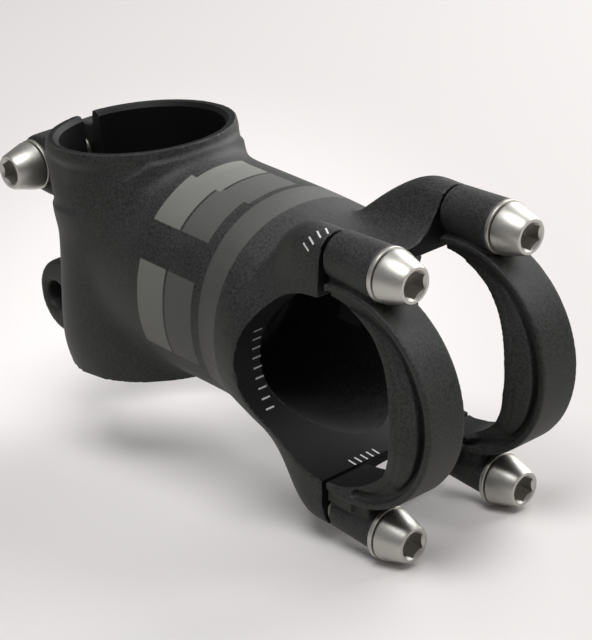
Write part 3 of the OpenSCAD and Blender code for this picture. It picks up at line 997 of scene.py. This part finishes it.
class STEM_OT_stage(bpy.types.Operator):
    """Set the camera, the pale floor, the studio lamps and the world"""
    bl_idname = "stem.stage"
    bl_label = "Stage"

    def execute(self, context):
        colours = context.scene.stem_colours
        right, up, back = camera_axes()
        data = bpy.data.cameras.new("photo_camera")
        data.sensor_width = SENSOR_WIDTH
        data.sensor_fit = "AUTO"
        data.lens = CAMERA_LENS
        data.shift_x, data.shift_y = SHIFT_X, SHIFT_Y
        data.clip_start, data.clip_end = 0.01, 20
        camera = bpy.data.objects.new("photo_camera", data)
        turn = Matrix((right, up, back)).transposed().to_4x4()
        aim = Vector(CAMERA_AIM) * MM
        camera.matrix_world = Matrix.Translation(aim + back * CAMERA_DISTANCE * MM) @ turn
        context.scene.collection.objects.link(camera)
        context.scene.camera = camera

        low = CAD_BOX[0].z
        deselect()
        bpy.ops.mesh.primitive_circle_add(vertices=96, radius=FLOOR_R, fill_type="NGON",
                                          location=(0, 0, low - FLOOR_GAP))
        floor = context.object
        floor.name = "floor"
        material, shader = new_material("pale_matt_floor")
        # Pale to the camera, with painted light that is paler in the middle and dimmer outwards; grey to the light
        # that bounces off it
        place = add_node(material, "ShaderNodeTexCoord").outputs["Object"]
        ahead = Vector((back.x, back.y, 0)).normalized()
        aside = Vector((-ahead.y, ahead.x, 0))
        centre = aim - ahead * FLOOR_CENTRE - aside * FLOOR_LEFT
        offset = add_node(material, "ShaderNodeVectorMath", {0: place, 1: centre},
                          operation="SUBTRACT").outputs[0]
        sideways, away = (add_node(material, "ShaderNodeVectorMath", {0: offset, 1: axis},
                                   operation="DOT_PRODUCT").outputs["Value"]
                          for axis in (aside, ahead * FLOOR_SQUASH))
        distance = add_node(material, "ShaderNodeVectorMath", {
            0: add_node(material, "ShaderNodeCombineXYZ",
                        {"X": sideways, "Y": away}).outputs[0]},
            operation="LENGTH").outputs["Value"]
        # Painted light: the pale pool round the stem fades outwards into the dimmer floor colour
        far = add_node(material, "ShaderNodeMapRange", {
            "Value": distance, "From Min": PAINTED_LIGHT_FADE[0], "From Max": PAINTED_LIGHT_FADE[1]},
            interpolation_type="SMOOTHSTEP").outputs["Result"]
        pale = add_node(material, "ShaderNodeMix", {
            "Factor": far, MIX_A: linear(colours.floor), MIX_B: linear(colours.floor_painted_falloff)},
            data_type="RGBA").outputs[MIX_RESULT]
        path = add_node(material, "ShaderNodeLightPath").outputs
        seen = add_node(material, "ShaderNodeMath", {
            0: path["Is Camera Ray"], 1: path["Is Glossy Ray"]}, operation="MAXIMUM").outputs[0]
        tone = add_node(material, "ShaderNodeMix", {
            "Factor": seen, MIX_A: linear(colours.floor_bounce), MIX_B: pale},
            data_type="RGBA").outputs[MIX_RESULT]
        link(material, tone, shader.inputs["Base Color"])
        shader.inputs["Roughness"].default_value = 1.0
        shader.inputs["Specular IOR Level"].default_value = 0.0
        floor.data.materials.append(material)
        floor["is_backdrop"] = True

        for lamp in LAMPS:
            area_lamp(*lamp)
        world = bpy.data.worlds.new("studio")
        context.scene.world = world
        world.use_nodes = True
        background = world.node_tree.nodes["Background"]
        background.inputs["Color"].default_value = (1, 1, 1, 1)
        background.inputs["Strength"].default_value = WORLD_STRENGTH
        context.scene.view_settings.view_transform = "Standard"
        return {"FINISHED"}


class STEM_PT_panel(bpy.types.Panel):
    """Lists the stem's pieces in the sidebar"""
    bl_label = "Forged handlebar stem"
    bl_idname = "STEM_PT_panel"
    bl_space_type = "VIEW_3D"
    bl_region_type = "UI"
    bl_category = "Stem"

    def draw(self, context):
        for name, group in GROUPS.items():
            for key in group.__annotations__:
                self.layout.prop(getattr(context.scene, name), key)
        for operator in PIECES:
            self.layout.operator(operator.bl_idname)


PIECES = (STEM_OT_finishes, STEM_OT_forged_body, STEM_OT_bands, STEM_OT_bolts,
          STEM_OT_washers, STEM_OT_prints, STEM_OT_marks, STEM_OT_stage)
GROUPS = {"stem_shape": StemShape, "stem_bolt": BoltShape, "stem_prints": PrintShape,
          "stem_colours": StemColours}
CLASSES = (*GROUPS.values(), *PIECES, STEM_PT_panel)


def register():
    """Registers the classes and puts their sizes and colours on the scene."""
    for cls in CLASSES:
        bpy.utils.register_class(cls)
    for name, group in GROUPS.items():
        setattr(bpy.types.Scene, name, bpy.props.PointerProperty(type=group))


def unregister():
    """Takes them away again."""
    for name in GROUPS:
        delattr(bpy.types.Scene, name)
    for cls in reversed(CLASSES):
        bpy.utils.unregister_class(cls)


def shown(name, keep=lambda p: True):
    """Image places of a piece's finished vertices that keep accepts."""
    mesh = bpy.data.objects[name].data
    return [image_place(v.co) for v in mesh.vertices if keep(v.co)]


def middle(places):
    """Middle of the box round some image places."""
    xs, ys = zip(*places)
    return (min(xs) + max(xs)) / 2, (min(ys) + max(ys)) / 2


def measured_points():
    """Where each named thing shows: (x, y), or None for a free direction."""
    every = [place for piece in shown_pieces() if piece.type == "MESH"
             for place in shown(piece.name)]
    xs, ys = zip(*every)
    found = {"object_left": (min(xs), None), "object_right": (max(xs), None),
             "object_top": (None, min(ys)), "object_bottom": (None, max(ys))}
    b = bpy.context.scene.stem_bolt
    tip = b.washer_t + b.shoulder_h + b.head_h
    bolts = {node: (seat, direction) for node, _, _, _, seat, direction in bolt_seats()}
    for name, node in (("near_upper", "face_bolt_upper_right"),
                       ("near_lower", "face_bolt_lower_right"),
                       ("far_upper", "face_bolt_upper_left"),
                       ("far_lower", "face_bolt_lower_left"),
                       ("rear_pinch", "pinch_bolt_upper")):
        seat, direction = bolts[node]
        found[name + "_bolt_tip"] = middle(shown(
            "cap_" + node, lambda p: (p - seat).dot(direction) > tip - 0.4 * MM))
    rim = shown("forged_body", lambda p: p.z > CLAMP_TOP - 0.1 * MM
                and math.hypot(p.x, p.y) < BORE_R + 1 * MM)
    found["steerer_rim_left"] = min(rim)
    found["steerer_rim_right"] = max(rim)
    foot = shown("forged_body", lambda p: p.z < 1 * MM and math.hypot(p.x, p.y) < 22 * MM)
    found["foot_lowest"] = max(foot, key=lambda q: q[1])
    found["near_band_front"] = max(shown("band_right"))
    tree = carrier_tree(bpy.data.objects["forged_body"])
    for name in ("print_top", "print_corner", "print_side", "ring_stripe"):
        found[name] = image_place(place_on(tree, name)[0])
    # Each tick keeps its cube's vertices, in the order the marks were made
    marks = shown("white_marks")
    boss = BORE_TICKS + SEAT_TICKS
    for name, k in (("bore_marks_upper", 0), ("bore_marks_lower", BORE_TICKS - 1),
                    ("seat_marks", BORE_TICKS + SEAT_TICKS // 2),
                    ("boss_marks_first", boss), ("boss_marks_last", boss + BOSS_TICKS - 1)):
        found[name] = middle(marks[TICK_VERTICES * k:TICK_VERTICES * (k + 1)])
    return found


def write_points():
    """Goes through where each thing shows, and does nothing with it."""
    for name, place in measured_points().items():
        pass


def main():
    """Builds every piece in order."""
    register()
    bpy.ops.stem.finishes()
    bpy.ops.stem.forged_body()
    bpy.ops.stem.bands()
    bpy.ops.stem.bolts()
    bpy.ops.stem.washers()
    bpy.ops.stem.prints()
    bpy.ops.stem.marks()
    bpy.ops.stem.stage()
    write_points()


if __name__ == "__main__":
    main()
